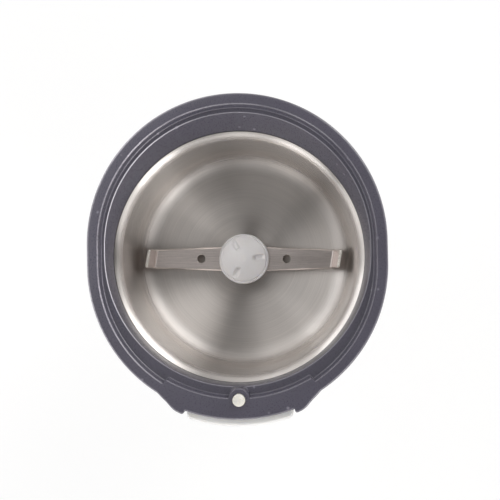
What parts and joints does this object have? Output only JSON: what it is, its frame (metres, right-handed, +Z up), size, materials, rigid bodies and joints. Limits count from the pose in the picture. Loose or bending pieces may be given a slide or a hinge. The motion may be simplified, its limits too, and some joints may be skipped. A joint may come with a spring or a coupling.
{
  "type": "electric spice grinder",
  "caption": "Upright electric spice grinder without its lid: white body, slate rim with lid ledge, steel bowl, bent-tip blade, press button and interlock pin.",
  "frame": {"origin": "on the table under the middle of the body's box", "axes": "+Z up, -Y towards the button, +X to the user's right as they face the button"},
  "size_m": [0.096, 0.1072, 0.14],
  "materials": {
    "white_body": "satin white moulded plastic",
    "slate_rim": "slate black moulded plastic, satin",
    "cover_grey": "light grey moulded plastic",
    "inner_ivory": "natural moulded plastic",
    "cap_white": "slightly translucent white plastic",
    "bowl_steel": "spun stainless steel",
    "blade_steel": "stamped stainless steel",
    "screw_steel": "zinc-plated steel",
    "spring_steel": "bright spring wire",
    "black_rubber": "black rubber",
    "lamination": "stacked electrical steel",
    "copper": "enamelled copper wire",
    "bronze": "sintered bronze and brass",
    "carbon": "pressed carbon",
    "bracket_metal": "die-cast aluminium",
    "fan_plastic": "natural moulded plastic",
    "fibre": "vulcanised fibre",
    "switch_black": "black moulded plastic",
    "plunger_red": "red moulded plastic",
    "zinc_sheet": "zinc-plated sheet steel",
    "block_white": "white moulded plastic",
    "film_yellow": "yellow moulded box"
  },
  "bodies": {
    "base": {"housing": "white_body", "collar": "slate_rim", "bottom_cover": "cover_grey", "feet": "black_rubber", "cover_screws": "screw_steel", "cord_bush": "black_rubber", "bowl": "bowl_steel", "bowl_gasket": "black_rubber", "bowl_carrier": "inner_ivory", "carrier_screws": "screw_steel", "shaft_seal": "black_rubber", "stator_core": "lamination", "field_coils": "copper", "upper_bracket": "bracket_metal", "lower_bracket": "bracket_metal", "upper_bearing": "bronze", "lower_bearing": "bronze", "motor_bolts": "screw_steel", "motor_nuts": "screw_steel", "rubber_mounts": "black_rubber", "mount_screws": "screw_steel", "brush_holders": "bronze", "carbon_brushes": "carbon", "brush_springs": "spring_steel", "button_spring": "spring_steel", "interlock_spring": "spring_steel", "switch_bracket": "zinc_sheet", "switch_screws": "screw_steel", "power_switch": "switch_black", "interlock_switch": "switch_black", "terminal_block": "block_white", "suppression_capacitor": "film_yellow"},
    "rotor": {"blade": "blade_steel", "blade_spacer": "blade_steel", "hub_nut": "blade_steel", "hub_cap": "cap_white", "motor_shaft": "blade_steel", "armature_core": "lamination", "armature_winding": "copper", "commutator": "copper", "cooling_fan": "fan_plastic", "thrust_washers": "fibre"},
    "button": {"power_button": "white_body"},
    "pin": {"interlock_pin": "cap_white"},
    "power_lever": {"power_lever": "spring_steel"},
    "power_plunger": {"power_plunger": "plunger_red"},
    "interlock_lever": {"interlock_lever": "spring_steel"},
    "interlock_plunger": {"interlock_plunger": "plunger_red"}
  },
  "joints": [
    {"name": "blade_spin", "type": "hinge", "parent": "base", "child": "rotor", "pos_m": [0, 0.0011, 0.094], "axis": [0, 0, 1], "continuous": true},
    {"name": "power_button_press", "type": "slide", "parent": "base", "child": "button", "axis": [0, 1, 0], "range_m": [0, 0.0025], "stiffness_N_per_m": 400, "springref_m": -0.004, "deforming": ["button_spring"]},
    {"name": "interlock_pin_press", "type": "slide", "parent": "base", "child": "pin", "axis": [0, 0, -1], "range_m": [0, 0.002], "stiffness_N_per_m": 300, "springref_m": -0.004, "deforming": ["interlock_spring"]},
    {"name": "power_lever_swing", "type": "hinge", "parent": "base", "child": "power_lever", "pos_m": [0.0095, -0.0403, 0.0631], "axis": [-1, 0, 0], "range_deg": [0, 7.84]},
    {"name": "power_plunger_press", "type": "slide", "parent": "base", "child": "power_plunger", "axis": [0, 1, 0], "range_m": [0, 0.000455]},
    {"name": "interlock_lever_swing", "type": "hinge", "parent": "base", "child": "interlock_lever", "pos_m": [0.0015, -0.027, 0.0744], "axis": [1, 0, 0], "range_deg": [0, 6.36]},
    {"name": "interlock_plunger_press", "type": "slide", "parent": "base", "child": "interlock_plunger", "axis": [0, 0, -1], "range_m": [0, 0.000455]}
  ],
  "couplings": [
    {"joint": "power_lever_swing", "follows": "power_button_press", "rad_per_m": 54.566},
    {"joint": "power_plunger_press", "follows": "power_button_press", "ratio": 0.18},
    {"joint": "interlock_lever_swing", "follows": "interlock_pin_press", "rad_per_m": 55.353},
    {"joint": "interlock_plunger_press", "follows": "interlock_pin_press", "ratio": 0.225}
  ]
}
